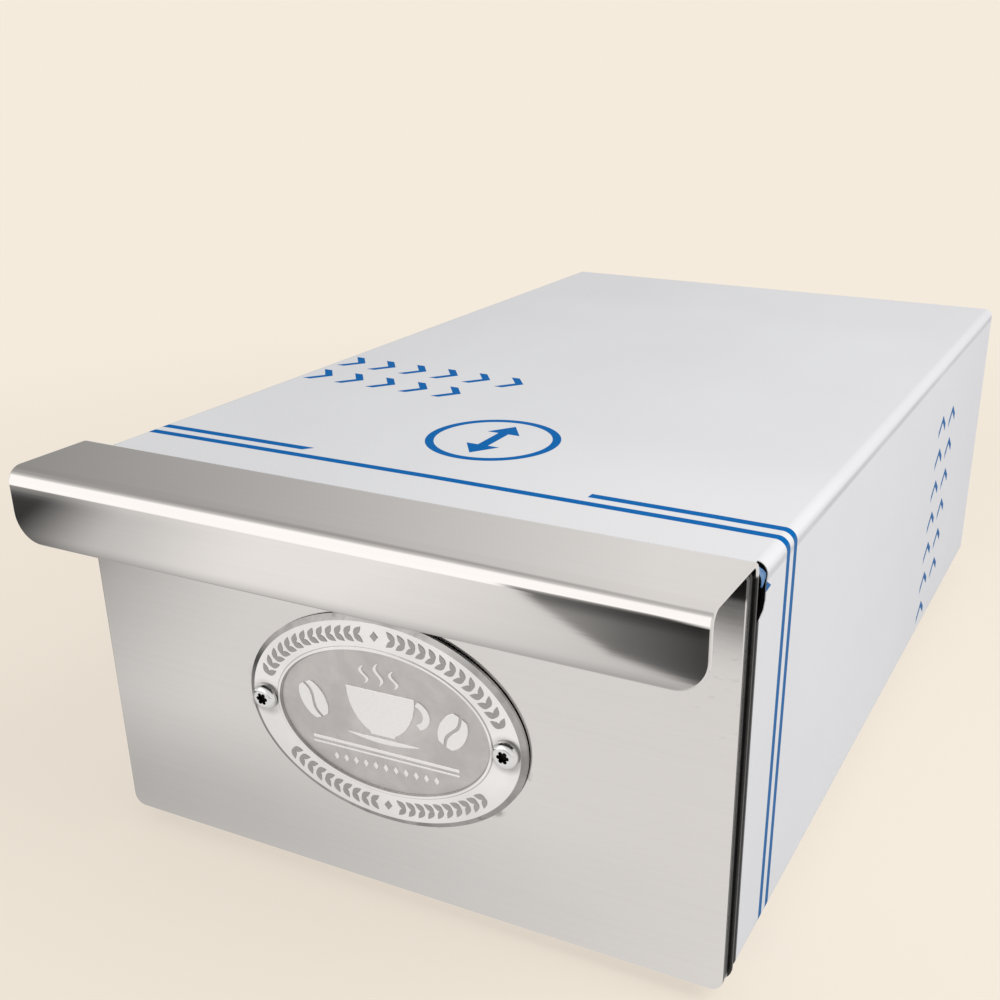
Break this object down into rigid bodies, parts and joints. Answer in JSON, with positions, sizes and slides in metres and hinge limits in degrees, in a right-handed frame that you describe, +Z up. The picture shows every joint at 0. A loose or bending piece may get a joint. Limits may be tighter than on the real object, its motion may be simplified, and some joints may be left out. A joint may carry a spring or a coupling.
{
  "type": "coffee knock drawer",
  "caption": "Under-grinder knock drawer: a folded sleeve on rubber feet with a sliding tub, a rubber-covered cross bar to knock coffee grounds off on, and a lipped handle.",
  "frame": {"origin": "middle of the footprint, on the surface that the feet stand on", "axes": "+X to the right across the front, +Y from the front to the back, +Z up"},
  "size_m": [0.202, 0.3536, 0.1258],
  "materials": {
    "satin_steel": "satin",
    "tub_steel": "satin, a little dull",
    "handle_steel": "fine satin, near polished",
    "panel_steel": "fine horizontal satin",
    "badge_steel": "polished rims, matt field",
    "fastener_steel": "polished",
    "rivet_aluminium": "plain",
    "printed_film": "satin film with plain blue lines",
    "white_plastic": "natural, smooth",
    "black_rubber": "matt",
    "bar_rubber": "matt, lightly marked",
    "black_foam": "matt foam"
  },
  "bodies": {
    "casing": {"casing_shell": "satin_steel", "protective_film": "printed_film", "rear_panel": "satin_steel", "rear_bumpers": "black_rubber", "foot_front_left": "black_rubber", "foot_front_right": "black_rubber", "foot_rear_left": "black_rubber", "foot_rear_right": "black_rubber", "foot_screws": "fastener_steel", "foot_nuts": "fastener_steel", "glide_strip_left": "white_plastic", "glide_strip_right": "white_plastic", "glide_rivets": "rivet_aluminium"},
    "drawer": {"tub_trough": "tub_steel", "tub_front_wall": "tub_steel", "tub_rear_wall": "tub_steel", "ear_cap_left": "white_plastic", "ear_cap_right": "white_plastic", "front_panel": "panel_steel", "panel_tape": "black_foam", "backing_plate": "satin_steel", "front_gasket": "black_rubber", "handle_plate": "handle_steel", "badge_pad": "black_foam", "badge": "badge_steel", "badge_screws": "fastener_steel", "panel_studs": "fastener_steel", "front_washers": "fastener_steel", "front_nuts": "fastener_steel", "knock_bar_tube": "satin_steel", "knock_bar_sleeve": "bar_rubber", "knock_bar_bushes": "white_plastic", "knock_bar_bolts": "fastener_steel"}
  },
  "joints": [
    {"name": "drawer_slide", "type": "slide", "parent": "casing", "child": "drawer", "axis": [0, -1, 0], "range_m": [0, 0.252]}
  ]
}
